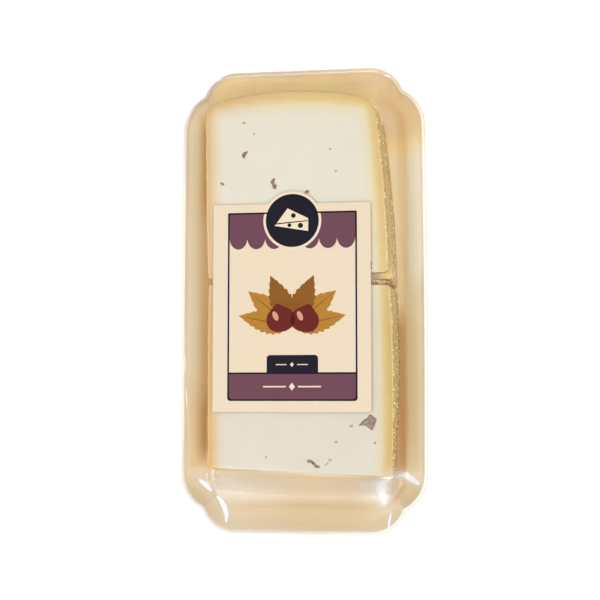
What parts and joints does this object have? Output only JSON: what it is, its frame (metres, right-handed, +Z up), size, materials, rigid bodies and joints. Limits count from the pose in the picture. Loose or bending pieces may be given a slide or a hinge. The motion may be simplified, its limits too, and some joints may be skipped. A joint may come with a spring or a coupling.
{
  "type": "retail pack of sliced raclette cheese",
  "caption": "Skin-packed cheese slices with nut pieces in two stacks, end to end, in a pale lobed plastic tray with a plain printed paper label on the film.",
  "frame": {"origin": "middle of the tray's underside, on the surface the pack stands on", "axes": "+X across the tray, +Y along it towards the slices' rounded rind end, +Z up through the label"},
  "size_m": [0.107, 0.2002, 0.0264],
  "materials": {
    "tray_plastic": "glossy warm beige, slightly see-through",
    "cheese": "waxy pale cream, yellower towards the rind",
    "clear_film": "clear, glossy, drawn tight",
    "label_paper": "satin printed paper"
  },
  "bodies": {
    "root": {"tray": "tray_plastic", "upper_slice_1": "cheese", "upper_slice_2": "cheese", "upper_slice_3": "cheese", "upper_slice_4": "cheese", "upper_slice_5": "cheese", "lower_slice_1": "cheese", "lower_slice_2": "cheese", "lower_slice_3": "cheese", "lower_slice_4": "cheese", "lower_slice_5": "cheese", "film": "clear_film", "label": "label_paper"}
  },
  "joints": []
}
